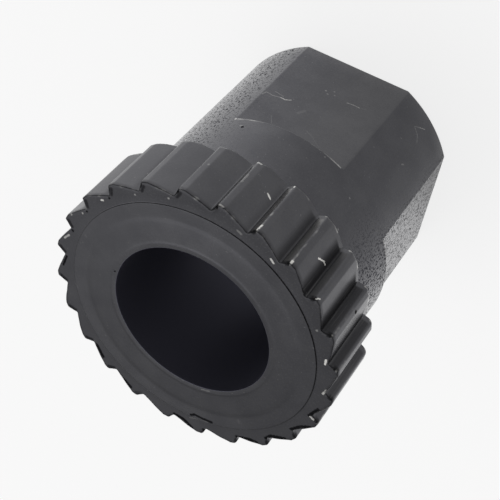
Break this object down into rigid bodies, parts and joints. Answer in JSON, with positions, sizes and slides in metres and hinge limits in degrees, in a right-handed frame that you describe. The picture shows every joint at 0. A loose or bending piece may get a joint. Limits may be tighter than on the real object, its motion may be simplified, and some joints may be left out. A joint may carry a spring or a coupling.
{
  "type": "hub ring nut tool",
  "caption": "One-piece steel socket with a ring of external saw teeth on a round shank, a plain through bore and flats for a vice or wrench.",
  "frame": {"origin": "centre of the shank's end face, which the tool stands on", "axes": "+Z along the bore from the shank's end towards the toothed face, X and Y square to the milled flats"},
  "size_m": [0.033, 0.033, 0.034],
  "materials": {
    "blackened_steel": "turned and milled steel with a dark grey oxide finish, edges worn bright"
  },
  "bodies": {
    "root": {"tool_body": "blackened_steel"}
  },
  "joints": []
}
